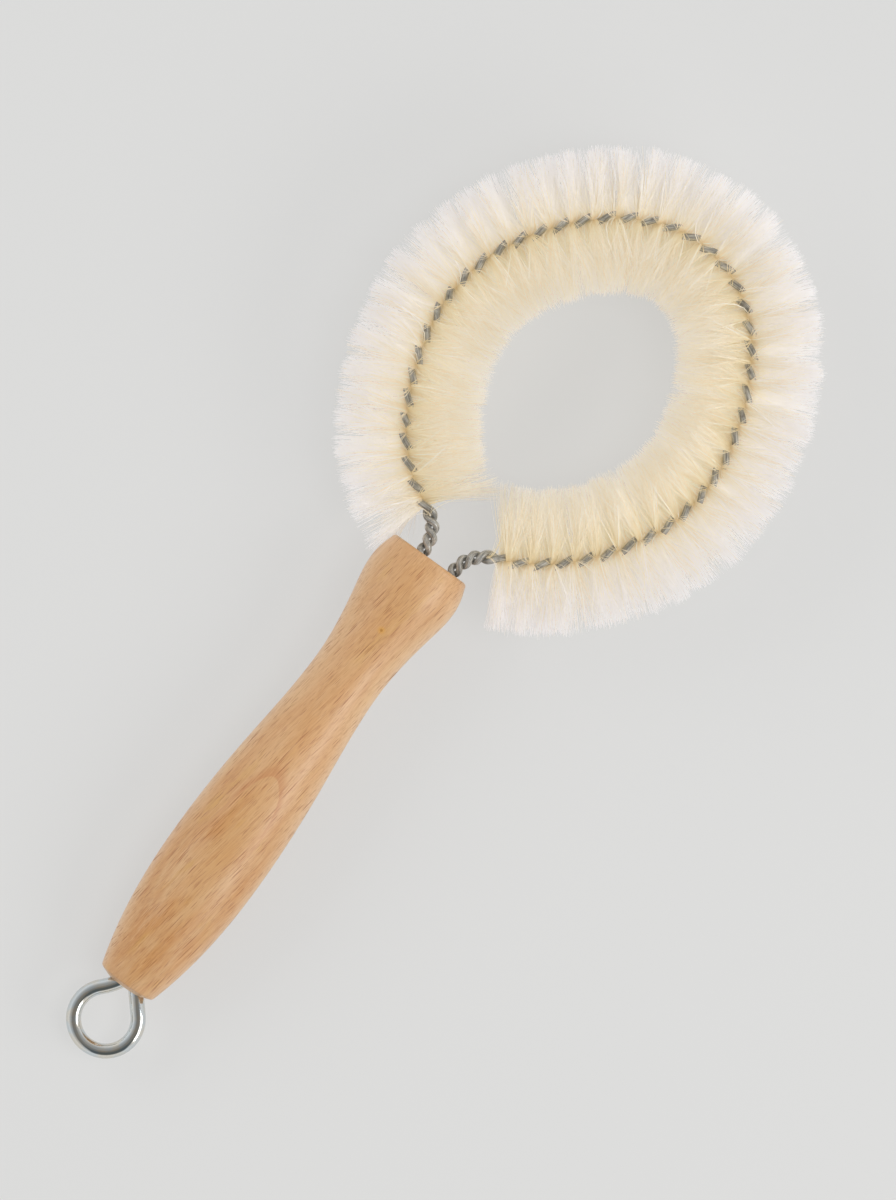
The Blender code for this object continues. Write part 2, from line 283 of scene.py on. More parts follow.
class Value:
    """A node socket that sums are written with. Each sum adds the node that works it out."""

    def __init__(self, tree, socket):
        self.tree = tree
        self.socket = socket

    def node(self, kind, settings=None, sockets=None, out=0):
        """Adds a node, makes its settings, and then fills its sockets with numbers or links."""
        node = self.tree.nodes.new(kind)
        for name, setting in (settings or {}).items():
            if name == "stops":
                set_stops(node.color_ramp, setting)
            else:
                setattr(node, name, setting)
        for name, value in (sockets or {}).items():
            if isinstance(value, Value):
                self.tree.links.new(value.socket, node.inputs[name])
            else:
                node.inputs[name].default_value = value
        return Value(self.tree, node.outputs[out]) if node.outputs else None

    def out(self, name):
        """Another output of the node that this value comes from."""
        return Value(self.tree, self.socket.node.outputs[name])

    def sum(self, operation, first, second):
        """Math for two numbers, and Vector Math where one of them is a vector."""
        vectors = [isinstance(x, (Vector, tuple)) or isinstance(x, Value)
                   and x.socket.type == "VECTOR" for x in (first, second)]
        if not any(vectors):
            return self.node("ShaderNodeMath", {"operation": operation}, {0: first, 1: second})
        if operation == "MULTIPLY" and not all(vectors):
            vector, number = (first, second) if vectors[0] else (second, first)
            return self.node("ShaderNodeVectorMath", {"operation": "SCALE"},
                             {0: vector, "Scale": number})
        return self.node("ShaderNodeVectorMath", {"operation": operation}, {0: first, 1: second})

    def __add__(self, other):
        return self.sum("ADD", self, other)

    def __radd__(self, other):
        return self.sum("ADD", other, self)

    def __sub__(self, other):
        return self.sum("SUBTRACT", self, other)

    def __rsub__(self, other):
        return self.sum("SUBTRACT", other, self)

    def __mul__(self, other):
        return self.sum("MULTIPLY", self, other)

    def __rmul__(self, other):
        return self.sum("MULTIPLY", other, self)

    def __truediv__(self, other):
        return self.sum("DIVIDE", self, other)

    def __rtruediv__(self, other):
        return self.sum("DIVIDE", other, self)

    def __neg__(self):
        return self * -1

    def math(self, operation, other=0.0):
        """Any other operation of the Math and Vector Math nodes."""
        return self.sum(operation, self, other)

    def rise(self, low, high):
        """From 0 at low to 1 at high, with soft ends. High may be under low."""
        return self.node("ShaderNodeMapRange", {"interpolation_type": "SMOOTHSTEP"},
                         {"Value": self, "From Min": low, "From Max": high})

    def mix(self, first, second):
        """This value as the share of the second colour in a mix with the first."""
        return self.node("ShaderNodeMix", {"data_type": "RGBA"}, {0: self, 6: first, 7: second}, 2)

    def over(self, under, cover, colour, ends=None):
        """A colour laid over another as far as this pattern goes, or goes between the ends."""
        share = self.rise(*ends) if ends else self
        return (share * cover).mix(under, colour)

    def noise(self, scale=1.0, detail=2.0, roughness=0.5):
        """Noise at this place, about a unit from wave to wave at a scale of 1."""
        return self.node("ShaderNodeTexNoise", {"noise_dimensions": "3D"},
                         {"Vector": self, "Scale": scale, "Detail": detail,
                          "Roughness": roughness})

    def bumps(self, strength, distance):
        """The normal of a surface that has this value as its relief."""
        return self.node("ShaderNodeBump", None,
                         {"Strength": strength, "Distance": distance, "Height": self})


def set_stops(ramp, stops):
    """Gives a colour ramp these places and colours in place of its own."""
    while len(ramp.elements) > 1:
        ramp.elements.remove(ramp.elements[-1])
    for number, (place, colour) in enumerate(stops):
        stop = ramp.elements[0] if number == 0 else ramp.elements.new(place)
        stop.position = place
        stop.color = colour


def new_finish(name):
    """A new material with its shader, and its Object coordinates as a first value."""
    material = bpy.data.materials.new(name)
    material.use_nodes = True
    tree = material.node_tree
    shader = tree.nodes["Principled BSDF"]
    places = tree.nodes.new("ShaderNodeTexCoord")
    return material, shader, Value(tree, places.outputs["Object"])


def feed(shader, **sockets):
    """Sets or links the shader's sockets, which are named with _ for a space."""
    for name, value in sockets.items():
        socket = shader.inputs[name.replace("_", " ")]
        if isinstance(value, Value):
            value.tree.links.new(value.socket, socket)
        else:
            socket.default_value = value


def in_brush_plane(places):
    """Object coordinates as millimetres along the handle, to its left and up from its axis."""
    return places.node("ShaderNodeMapping", {"vector_type": "TEXTURE"},
                       {"Vector": places, "Location": butt_place, "Rotation": (0, -tilt, 0),
                        "Scale": (millimetre,) * 3})


def sized(place, size):
    """A place for a pattern whose grains are to have this length, width and depth."""
    return place * Vector([1 / part for part in size])


def flecks(grain, size, least_luck, girth, strength):
    """Rays cut across: thin dark lines along the grain, which are sheets in depth."""
    place = sized(grain, size)
    cells = place.node("ShaderNodeTexVoronoi", {"feature": "F1"},
                       {"Vector": place, "Scale": 1.0, "Randomness": 1.0})
    luck = cells.node("ShaderNodeSeparateColor", None, {0: cells.out("Color")})
    own_girth = luck.out("Green") * girth + girth * least_girth_share
    shows = luck.rise(least_luck, least_luck + luck_ease)
    return (cells / own_girth).rise(*fleck_edge) * shows * strength


def beech():
    """Pale beech with fine grain, one growth ring, a pin knot and the dark flecks of its rays."""
    material, shader, places = new_finish("beech")
    piece = in_brush_plane(places)
    part = piece.node("ShaderNodeSeparateXYZ", None, {0: piece})
    along, across, up = part, part.out("Y"), part.out("Z")

    # The grain runs at a slant to the handle and sways a little
    skewed = piece.node("ShaderNodeMapping", {"vector_type": "TEXTURE"},
                        {"Vector": piece, "Rotation": (0, 0, grain_turn)})
    sway = sized(skewed, sway_size).noise(detail=1.0) - 0.5
    grain = skewed + sway.node("ShaderNodeCombineXYZ", None, {"Y": sway * grain_sway})
    fleck = flecks(grain, *long_fleck)
    fleck = fleck.math("MAXIMUM", flecks(grain, *short_fleck))
    fleck = fleck.math("MAXIMUM", flecks(grain, *fine_fleck))
    patch = sized(grain, patch_size).noise()
    blotch = sized(grain, blotch_size).noise(detail=3.0, roughness=0.6)
    streak = sized(grain, streak_size).noise(detail=3.0, roughness=0.6)
    fibre = sized(grain, fibre_size).noise(roughness=0.55)

    # The one growth ring that the belly cuts shows as an arch with a reddish edge
    height = (up + across * across * (0.5 / ring_radius) + (along - ring_apex) * ring_slope
              + sway * ring_sway)
    past_ring = height - ring_height
    arch = past_ring.rise(*ring_edge_ends) * past_ring.rise(*ring_edge_begins)
    arch = arch * along.rise(*ring_butt_end) * along.rise(*ring_top_end)
    inside = past_ring.rise(0.0, ring_depth) * along.rise(*inside_begins)
    bands = height.node("ShaderNodeTexNoise", {"noise_dimensions": "1D"},
                        {"W": height * bands_each, "Scale": 1.0, "Detail": 2.0})

    flat = piece * Vector((1.0, 1.0, 0.0))
    from_knot = flat.node("ShaderNodeVectorMath", {"operation": "DISTANCE"},
                          {0: flat, 1: (*pin_knot, 0.0)}, "Value")
    on_top = up.rise(*top_half)
    knot = from_knot.rise(*knot_reach) * on_top
    knot_heart = from_knot.rise(*knot_heart_reach) * on_top

    # The layers are the wood's own colours, except the paler flanks, which are a painted sheen
    tone = wood_pale
    for pattern, layer in (
            (patch, patch_brown), (bands, band_brown), (blotch, blotch_gold),
            (blotch, blotch_pink), (inside, inside_gold), (along, top_pale), (up, flank_painted_sheen),
            (arch, ring_red), (streak, streak_brown), (streak, streak_pale),
            (fibre, fibre_brown), (fleck, fleck_brown), (knot, knot_gold),
            (knot_heart, knot_brown)):
        tone = pattern.over(tone, *layer)
    relief = fibre * 0.5 + streak * 0.6 - fleck * 1.6
    feed(shader, Base_Color=tone, Roughness=0.36 + streak * 0.12 + fleck * 0.2,
         Normal=relief.bumps(0.4, grain_relief), Coat_Weight=0.45, Coat_Roughness=0.35)
    return material


handle = turned_handle()
for offset in (left_hole_offset, right_hole_offset):
    bpy.ops.mesh.primitive_cylinder_add(vertices=hole_steps, radius=hole_radius,
                                        depth=2 * hole_depth)
    drill = bpy.context.object
    drill.data.transform(Matrix.Translation((handle_length, offset, 0))
                         @ Matrix.Rotation(math.pi / 2, 4, "Y"))
    cut_away(handle, drill)

# Screw eye
# One bent length of zinc-plated steel wire: a ring to hang the brush by, whose neck runs into
# the butt as a shank with a gimlet point. Its free end lies flat against the butt.
eye_wire = 0.0036
eye_ring_radius = 0.0077
eye_ring_drop = 0.0090
eye_ring_offset = -0.0010
eye_shank_length = 0.0190
eye_point_length = 0.0035
eye_point_share = 0.12
eye_neck_depth = 0.0050
eye_neck_reach = 0.0030
eye_neck_turn = math.radians(45)
eye_tail_turn = math.radians(-49)
eye_fit = 0.0001
eye_ring_steps = 150
eye_neck_steps = 32
eye_sides = 32
eye_crease = math.radians(50)
tail_seatings = 4

# Rates are in waves to a metre, here and below
cloud_rate = 320.0
drawing_rate = 2600.0
drawing_relief = 0.00002
zinc_blue = shown(214, 221, 224)
zinc_yellow = (1.0, shown(226, 222, 212), (0.35, 0.65))
zinc_mark = (0.25, shown(170, 174, 176), (0.55, 0.8))


def bezier(start, lean_out, lean_in, end, count):
    """Points of a cubic curve from start to end, without its start."""
    points = []
    for k in range(1, count + 1):
        t = k / count
        points.append(start * (1 - t) ** 3 + lean_out * 3 * t * (1 - t) ** 2
                      + lean_in * 3 * t * t * (1 - t) + end * t ** 3)
    return points


def on_ring(turn):
    """A point of the ring's centre line, and the way in which the wire runs there."""
    outward = Vector((math.cos(turn), math.sin(turn), 0))
    centre = Vector((-eye_ring_drop, eye_ring_offset, 0))
    return centre + eye_ring_radius * outward, Vector((-outward.y, outward.x, 0))


def eye_shank_and_neck():
    """Centre line from the gimlet point through the neck to where the ring begins."""
    ahead = Vector((1, 0, 0))
    neck = ahead * eye_neck_depth
    leave, heading = on_ring(eye_neck_turn)
    shank = [ahead * eye_shank_length, ahead * (eye_shank_length - eye_point_length), neck]
    return shank + bezier(neck, neck - ahead * eye_neck_reach,
                          leave - heading * eye_neck_reach, leave, eye_neck_steps)


def eye_ring_and_tail():
    """Centre line round the ring and then straight on to the butt."""
    sweep = 2 * math.pi + eye_tail_turn - eye_neck_turn
    points = [on_ring(eye_neck_turn + sweep * k / eye_ring_steps)[0]
              for k in range(1, eye_ring_steps + 1)]
    start, heading = on_ring(eye_tail_turn)
    points.append(start - heading * (start.x + eye_fit) / heading.x)
    return points


def eye_mesh(points, gap):
    """The eye's wire along the points as a closed mesh, fatter by a gap all round."""
    curve = bpy.data.curves.new("eye", "CURVE")
    curve.dimensions = "3D"
    curve.bevel_depth = eye_wire / 2 + gap
    curve.bevel_resolution = eye_sides // 4 - 1
    curve.use_fill_caps = True
    spline = curve.splines.new("POLY")
    spline.points.add(len(points) - 1)
    for point, place in zip(spline.points, points):
        point.co = (*place, 1)
    spline.points[0].co.x += gap
    spline.points[0].radius = (eye_wire / 2 * eye_point_share + gap) / curve.bevel_depth
    wire = bpy.data.objects.new("eye", curve)
    scene.collection.objects.link(wire)
    mesh = shown_mesh(wire)
    bpy.data.objects.remove(wire, do_unlink=True)
    shape = bmesh.new()
    shape.from_mesh(mesh)
    bmesh.ops.remove_doubles(shape, verts=shape.verts, dist=weld)
    shape.to_mesh(mesh)
    shape.free()
    return mesh


def seat_tail(mesh, tail):
    """Slides the end of the wire along its own way until it fits the dome of the butt."""
    heading = on_ring(eye_tail_turn)[1]
    dome_slope = butt_dome / (butt_radius - butt_flat_radius)
    tail_end = [vertex for vertex in mesh.vertices
                if (vertex.co - tail).length < eye_wire / 2 + weld]
    for vertex in tail_end * tail_seatings:
        dome = max(0, math.hypot(vertex.co.y, vertex.co.z) - butt_flat_radius) * dome_slope
        vertex.co -= heading * (vertex.co.x - dome - eye_fit) / heading.x


def laid_down(name, mesh):
    """An object for a mesh drawn in the brush's plane, which is laid down as the brush lies."""
    mesh.name = name
    mesh.transform(lie)
    obj = bpy.data.objects.new(name, mesh)
    scene.collection.objects.link(obj)
    return obj


def zinc():
    """Bright zinc plate with a faint blue and yellow cast and fine drawing marks."""
    material, shader, places = new_finish("zinc_plate")
    cloud = places.noise(cloud_rate)
    fine = places.noise(drawing_rate, 3.0, 0.6)
    tone = fine.over(cloud.over(zinc_blue, *zinc_yellow), *zinc_mark)
    feed(shader, Base_Color=tone, Roughness=0.06 + cloud * 0.05 + fine * 0.04,
         Normal=fine.bumps(0.25, drawing_relief), Metallic=1.0)
    return material


# Boring the butt for the shank and the neck finishes the handle
recess = bpy.data.objects.new("eye_recess", eye_mesh(eye_shank_and_neck(), eye_fit))
scene.collection.objects.link(recess)
cut_away(handle, recess)
surface(handle.data, beech(), handle_crease)
handle.data.transform(lie)
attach(handle, "root")
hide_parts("handle")

eye_points = eye_shank_and_neck() + eye_ring_and_tail()
eye_shape = eye_mesh(eye_points, 0)
seat_tail(eye_shape, eye_points[-1])
eye = laid_down("hanging_eye", eye_shape)
surface(eye.data, zinc(), eye_crease)
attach(eye, "root")
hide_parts("screw_eye")

# Stem
# Two galvanised steel wires in a left-hand twist. They grip the bristles all along the loop,
# and their bare, tighter twisted legs are glued into the two holes in the handle's top.
wire_diameter = 0.0016
wire_gap = 0.00035
pressed_mat = 0.0002
seat_gap = 0.0003
leg_pitch_share = 3.56
leg_pitch = leg_pitch_share * wire_diameter
pitch_ease = 0.004
fill_turns = 22.5
twist_hand = -1
leg_lead = 0.0008
leg_rise = 0.0042
leg_sweep = 0.0040
path_step_share = 0.15
path_step = path_step_share * wire_diameter
leg_spread = (wire_diameter + wire_gap) / 2
fill_spread = (wire_diameter + pressed_mat) / 2
wire_sides = 16

mottle_rate = 700.0
rub_rate = 2600.0
rub_stretch = Vector((1.0, 1.0, 0.13))
coat_relief = 0.00003
steel_grey = shown(140, 139, 134)
steel_bright = (1.0, shown(218, 217, 212), (0.32, 0.7))
steel_dull = (0.6, shown(120, 118, 112), (0.46, 0.7))


def leg_points(offset, join, heading, count):
    """A leg from the bottom of its hole, up out of the wood, and round into the loop."""
    bottom = Vector((handle_length - hole_depth + wire_diameter / 2 + seat_gap, offset, 0))
    mouth = Vector((handle_length + leg_lead, offset, 0))
    ahead = Vector((1, 0, 0))
    points = [bottom.lerp(mouth, k / count) for k in range(count + 1)]
    return points + bezier(mouth, mouth + ahead * leg_rise, join - heading * leg_sweep, join,
                           count)


def stem_tables():
    """Places, twist phase and wire spread along the stem, and where the fill starts and ends."""
    sweep = loop_left_angle - loop_right_angle
    count = math.ceil(sweep * loop_radius / path_step)
    loop = [loop_point(loop_left_angle - sweep * k / count) for k in range(count + 1)]
    leg_count = math.ceil(hole_depth / path_step)
    left = leg_points(left_hole_offset, loop[0], (loop[1] - loop[0]).normalized(), leg_count)
    right = leg_points(right_hole_offset, loop[-1], (loop[-2] - loop[-1]).normalized(),
                       leg_count)
    places = np.array(left[:-1] + loop + right[-2::-1])
    steps = np.linalg.norm(np.diff(places, axis=0), axis=1)
    distance = np.concatenate([[0], np.cumsum(steps)])
    first = len(left) - 1
    start = distance[first]
    end = distance[first + count]
    outside = np.maximum(start - distance, distance - end)
    share = np.clip(1 - outside / pitch_ease, 0, 1)
    share = share * share * (3 - 2 * share)
    pitch = leg_pitch + ((end - start) / fill_turns - leg_pitch) * share
    rate = 2 * math.pi / pitch
    phase = np.concatenate([[0], np.cumsum((rate[1:] + rate[:-1]) / 2 * steps)])
    phase += math.pi / 2 - phase[first]
    return places, phase, leg_spread + (fill_spread - leg_spread) * share, start, end


def stem_line_object(places, phase, spread):
    """The stem's centre line, with the twist's phase and the wires' spread at each point."""
    mesh = bpy.data.meshes.new("stem_line")
    mesh.from_pydata(places.tolist(), [(k, k + 1) for k in range(len(places) - 1)], [])
    for name, values in (("phase", phase), ("spread", spread)):
        layer = mesh.attributes.new(name, "FLOAT", "POINT")
        layer.data.foreach_set("value", values.astype(np.float32))
    line = bpy.data.objects.new("stem_line", mesh)
    scene.collection.objects.link(line)
    return line


def new_tree(name, inputs):
    """A geometry tree with an input for the geometry and one for each of these settings."""
    tree = bpy.data.node_groups.new(name, "GeometryNodeTree")
    tree.interface.new_socket("Geometry", in_out="INPUT", socket_type="NodeSocketGeometry")
    tree.interface.new_socket("Geometry", in_out="OUTPUT", socket_type="NodeSocketGeometry")
    for label, setting in inputs.items():
        number = "Int" if isinstance(setting, int) else "Float"
        kind = "Material" if isinstance(setting, bpy.types.Material) else number
        tree.interface.new_socket(label, in_out="INPUT", socket_type="NodeSocket" + kind)
    entry = tree.nodes.new("NodeGroupInput")
    return {label: Value(tree, entry.outputs[label]) for label in ("Geometry", *inputs)}


def close_tree(geometry, material):
    """Ends a tree: its instances are made real, and the material is set."""
    real = geometry.node("GeometryNodeRealizeInstances", None, {0: geometry})
    painted = real.node("GeometryNodeSetMaterial", None, {0: real, "Material": material})
    painted.node("NodeGroupOutput", None, {"Geometry": painted})


def made_by(tree, line, inputs):
    """The mesh that a tree makes from the stem's line with these inputs."""
    making = line.modifiers.new("making", "NODES")
    making.node_group = tree
    for item in tree.interface.items_tree:
        if item.in_out == "INPUT" and item.name in inputs:
            making[item.identifier] = inputs[item.name]
    mesh = shown_mesh(line, all_layers=True)
    line.modifiers.remove(making)
    return mesh


def named(value, name, kind="FLOAT"):
    """An attribute of the geometry, read by its name."""
    return value.node("GeometryNodeInputNamedAttribute", {"data_type": kind}, {"Name": name})


def stored_on(geometry, name, value, kind="FLOAT_VECTOR", domain="POINT"):
    """The geometry with the value kept on it under a name."""
    return geometry.node("GeometryNodeStoreNamedAttribute",
                         {"data_type": kind, "domain": domain},
                         {0: geometry, "Name": name, "Value": value})


def across_stem(tangent, phase):
    """The ways to the first wire, of the fibres, to the loop's outside, and up."""
    upright = tangent.node("ShaderNodeCombineXYZ", None, {"Z": 1.0})
    sideways = tangent.node("ShaderNodeVectorMath", {"operation": "CROSS_PRODUCT"},
                            {0: upright, 1: tangent})
    turn = phase * twist_hand
    to_wire = sideways * turn.math("COSINE") + upright * turn.math("SINE")
    fibre = upright * turn.math("COSINE") - sideways * turn.math("SINE")
    return to_wire, fibre, sideways, upright


def wire_tree(inputs):
    """One wire of the twist, swept along the stem's line on the side given."""
    given = new_tree("twisted_wire", inputs)
    line = given["Geometry"].node("GeometryNodeMeshToCurve", None, {0: given["Geometry"]})
    tangent = line.node("GeometryNodeInputTangent")
    to_wire, *_ = across_stem(tangent, named(line, "phase"))
    wound = line.node("GeometryNodeSetPosition", None,
                      {0: line, "Offset": to_wire * (named(line, "spread") * given["Side"])})
    section = line.node("GeometryNodeCurvePrimitiveCircle", None,
                        {"Resolution": given["Sides"], "Radius": given["Wire Radius"]})
    section = stored_on(section, "around", line.node("GeometryNodeInputPosition"))
    reached = line.node("GeometryNodeSplineParameter").out("Length")
    wound = stored_on(wound, "reached", reached, "FLOAT")
    swept = wound.node("GeometryNodeCurveToMesh", None,
                       {0: wound, "Profile Curve": section, "Fill Caps": True})
    smooth = swept.node("GeometryNodeSetShadeSmooth", None, {0: swept, "Shade Smooth": True})
    along = smooth.node("ShaderNodeCombineXYZ", None, {"Z": named(line, "reached")})
    smooth = stored_on(smooth, "wire_place", named(line, "around", "FLOAT_VECTOR") + along)
    close_tree(smooth, given["Material"])
    return line.tree


def galvanised():
    """Dull galvanised steel: mottled grey zinc, rubbed brighter in streaks along the wire."""
    material, shader, places = new_finish("galvanised_wire")
    on_wire = places.node("ShaderNodeAttribute", {"attribute_name": "wire_place"}, None, 1)
    mottle = places.noise(mottle_rate, 3.0, 0.6)
    streak = (on_wire * rub_stretch).noise(rub_rate, 3.0, 0.6)
    tone = mottle.over(streak.over(steel_grey, *steel_bright), *steel_dull)
    relief = streak + mottle * 0.4
    feed(shader, Base_Color=tone, Roughness=0.36 + mottle * 0.16,
         Normal=relief.bumps(0.5, coat_relief), Metallic=0.45)
    return material


places, phase, spread, fill_start, fill_end = stem_tables()
stem_line = stem_line_object(places, phase, spread)
wire_inputs = {"Side": 1.0, "Wire Radius": wire_diameter / 2, "Sides": wire_sides,
               "Material": galvanised()}
twisting = wire_tree(wire_inputs)
for number, side in ((1, 1.0), (2, -1.0)):
    wire = laid_down(f"wire_{number}", made_by(twisting, stem_line, wire_inputs | {"Side": side}))
    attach(wire, "root")
    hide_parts(f"stem_wire_{number}")

# Bristles
# Cream natural bristle, laid across between the wires and gripped by their twist, so that it
# stands out all round the stem. It is trimmed to one length, and it lies in small locks.
tuft_count = 22
tuft_length = (fill_end - fill_start) / tuft_count
fibres_each = 2100
fibre_radius = 0.00005
fibre_points = 6
fibre_sides = 3
inner_extra = 0.0012
root_start = 0.0002
gap_pull = 0.8
knee_reach = 0.0042
knee_shift = 0.0007
bend_ease = 1.4
lock_width = 0.0009
wisp_width = 0.0005
wisp_layers = 8.0
start_splay = math.radians(8)
start_skew = math.radians(-14)
end_splay = math.radians(-2)
end_skew = math.radians(-11)
splay_length = 0.0065
slipped_share = 0.016
slipped_rise = 0.0045
slipped_aside = 0.0005
slipped_over = 0.0004
stout_share = 0.09
stout_girth = 1.4
draws_each_seed = 50

# How far a fibre swings round the stem and leans along it, with its lock, its wisp or alone.
# The lean also drifts slowly along the fill
drift_rate = 260.0
drift_apart = 7.0
lock_swing = 0.2
wisp_swing = 0.85
own_swing = 0.15
lock_lean = 0.08
wisp_lean = 0.1
own_lean = 0.03
wild_lean = 0.2
drift_lean = 0.5

# Shares of the swing, of the pull to the gap, of how high pressed fibres stand, of the trim, of
# the knee's reach and place, of the girth, and of the yellow
free_swing_share = 0.6
gripped_swing_share = 0.35
gathered_shares = (-0.5, 1.3)
pressed_share = 0.35
pressed_top_share = 0.5
lock_trim_share = 1.6
wisp_trim_share = 1.4
own_trim_share = 0.6
gripped_trim_share = 2.4
knee_shares = (0.2, 0.75)
knee_bend_share = 0.9
tip_taper_share = 0.6
shade_paling_yellow_share = 0.5
# Fibres that stand free get this extra yellow, so fibres gripped in the wire's shade are painted
# paler
wisp_yellow_share = 0.45
own_yellow_share = 0.05
stout_yellow_share = 0.8

# The finish reads a strip with the fibre's length along it. Its lower half, with the palest
# fibres lowest, is for the inside of the loop, and its upper half for the outside
strip_map = "OFBake"
strip_margin = 0.02
tint_margin = 0.03
tint_room = 0.42
side_room = 0.012
outside_half = 0.5

# Colours from root to tip: the share of the length, and the colour there
inside_shades = ((0.02, (214, 193, 150)), (0.08, (228, 216, 185)), (0.2, (236, 227, 204)),
                 (0.45, (239, 231, 214)), (0.98, (240, 234, 222)))
outside_shades = ((0.02, (219, 200, 160)), (0.08, (236, 226, 206)), (0.2, (239, 234, 225)),
                  (0.5, (239, 235, 231)), (0.98, (241, 239, 242)))
yellow_hair = (0.6, shown(226, 209, 170), (0.2, 0.46))
white_hair = (0.6, shown(249, 246, 241), (0.26, 0.03))
# A painted glow for light through the fibres, fading from the root, where it lifts the shade
glow_fade = (0.13, (0, 0, 0, 1), (0.05, 0.5))
glow_strength = 0.26


def unit(vector):
    """A vector of the same way and of length 1."""
    return vector.node("ShaderNodeVectorMath", {"operation": "NORMALIZE"}, {0: vector})


def fibre_ends(given, line):
    """A point for each half fibre, with its root, knee, tip, girth and tint stored on it."""
    draws = iter(range(draws_each_seed))

    def chance(low, high, identity=None):
        """A random number of its own for each fibre, or for each identity."""
        sockets = {2: low, 3: high, "Seed": given["Seed"] * draws_each_seed + next(draws)}
        if identity is not None:
            sockets["ID"] = identity
        return line.node("FunctionNodeRandomValue", {"data_type": "FLOAT"}, sockets, 1)

    def either_way(most, identity=None):
        """A random number that is as often below zero as above it."""
        return chance(-most, most, identity)

    def on_stem(distance):
        """The place, the tangent and the twist's phase at a distance along the stem."""
        found = line.node("GeometryNodeSampleCurve", {"mode": "LENGTH", "data_type": "FLOAT"},
                          {"Curves": line, "Value": named(line, "phase"), "Length": distance})
        return found.out("Position"), found.out("Tangent"), found

    # Where each fibre is gripped, on which side it stands out, and its lock's and wisp's number
    at = chance(given["Start"], given["End"])
    half = chance(0.0, 1.0).math("GREATER_THAN", 0.5) * 2 - 1
    lock = (at / given["Lock Width"]).math("FLOOR") * 2 + half
    layer = chance(0.0, wisp_layers).math("FLOOR")
    wisp = (at / given["Wisp Width"]).math("FLOOR") * 20 + half * 5 + layer
    centre, tangent, phase = on_stem(at)

    # Its root is pulled towards the middle of the gap between the wires
    past_gap = phase.node("ShaderNodeMath", {"operation": "WRAP"},
                          {0: phase, 1: -math.pi / 2, 2: math.pi / 2})
    gathered = chance(*gathered_shares).math("MAXIMUM", 0.0).math("MINIMUM", 1.0)
    pull = past_gap * given["Gap Pull"] * gathered / given["Twist Rate"]
    root_centre, _, _ = on_stem(at - pull)

    # It swings and leans, more so where the wires let it stand free
    free = phase.math("COSINE") * phase.math("COSINE")
    swing = either_way(lock_swing, lock) + (
        either_way(wisp_swing, wisp) + either_way(own_swing)) * (
            free * free_swing_share + gripped_swing_share)
    lean = either_way(lock_lean, lock) + either_way(wisp_lean, wisp) + either_way(own_lean)
    drift = at.node("ShaderNodeTexNoise", {"noise_dimensions": "1D"},
                    {"W": at * drift_rate + half * drift_apart, "Scale": 1.0, "Detail": 1.0})
    wild = either_way(1.0)
    lean = lean + wild * wild * wild * wild_lean + (drift - 0.5) * drift_lean
    _, fibre, sideways, upright = across_stem(tangent, phase)
    gripped = fibre * half
    _, swung, _, _ = across_stem(tangent, phase + swing)
    swung = swung * half

    # Fibres that would stand up between the wires are pressed to both sides of the stem
    rise = swung.node("ShaderNodeSeparateXYZ", None, {0: swung}).out("Z")
    upward = rise.math("MAXIMUM", 0.0)
    pressed = upward * (upward * pressed_top_share + pressed_share) + rise.math("MINIMUM", 0.0)
    flat = unit(swung * Vector((1, 1, 0)))
    level = (1 - pressed * pressed).math("SQRT")
    way = flat * level + upright * pressed
    outer = flat.node("ShaderNodeVectorMath", {"operation": "DOT_PRODUCT"},
                      {0: flat, 1: sideways}, "Value")
    outside = outer.math("GREATER_THAN", 0.0)

    # The fill splays out at both of its ends
    to_start = at - given["Fill Start"]
    to_end = given["Fill End"] - at
    nearness = (1 - to_start.math("MINIMUM", to_end) / given["Splay Length"]).math("MAXIMUM", 0.0)
    at_end = (to_start - to_end).math("GREATER_THAN", 0.0)
    start_way = given["Start Splay"] + outer * given["Start Skew"]
    end_way = given["End Splay"] + outer * given["End Skew"]
    lean = lean + nearness * level * (at_end * (start_way + end_way) - start_way)

    trim = (chance(0.0, lock_trim_share, lock) + chance(0.0, wisp_trim_share, wisp)
            + chance(0.0, own_trim_share) + (1 - free) * chance(0.0, gripped_trim_share))
    reach = given["Reach"] + (1 - outside) * given["Inner Extra"] - given["Trim"] * trim
    tip = centre + unit(way + tangent * lean) * reach
    root = root_centre + gripped * given["Root Start"]
    knee = centre + (gripped + way * knee_bend_share) * (
        given["Knee Reach"] * chance(*knee_shares)) + tangent * either_way(given["Knee Shift"])

    # A few fibres have slipped out at the next gap and lie along the wire that is on top
    slipped = chance(0.0, 1.0).math("LESS_THAN", given["Slipped Share"])
    to_next_gap = past_gap.math("SIGN") * math.pi - past_gap
    next_gap, _, _ = on_stem(at + to_next_gap / given["Twist Rate"])
    root_over = (next_gap + sideways * either_way(given["Slipped Aside"])
                 + upright * given["Slipped Over"])
    root = root + (root_over - root) * slipped
    knee = knee + (centre + upright * given["Slipped Rise"] - knee) * slipped

    # Some are stout, and yellower or paler than their wisp
    stout = chance(0.0, 1.0).math("LESS_THAN", given["Stout Share"])
    # Fibres gripped under the top wire, in its shade, get less yellow and so are painted paler:
    # painted light
    yellow_and_shade_paling = (free * shade_paling_yellow_share + chance(0.0, wisp_yellow_share, wisp)
              + chance(0.0, own_yellow_share))
    yellow_and_shade_paling = yellow_and_shade_paling + (chance(0.0, 1.0) - yellow_and_shade_paling) * stout * stout_yellow_share
    tint = yellow_and_shade_paling * tint_room + tint_margin + outside * outside_half

    points = line.node("GeometryNodePoints", None, {"Count": given["Count"]})
    for name, value in (("root", root), ("knee", knee), ("tip", tip)):
        points = stored_on(points, name, value)
    points = stored_on(points, "girth", stout * given["Stout Girth"] + 1.0, "FLOAT")
    return stored_on(points, "tint", tint, "FLOAT")


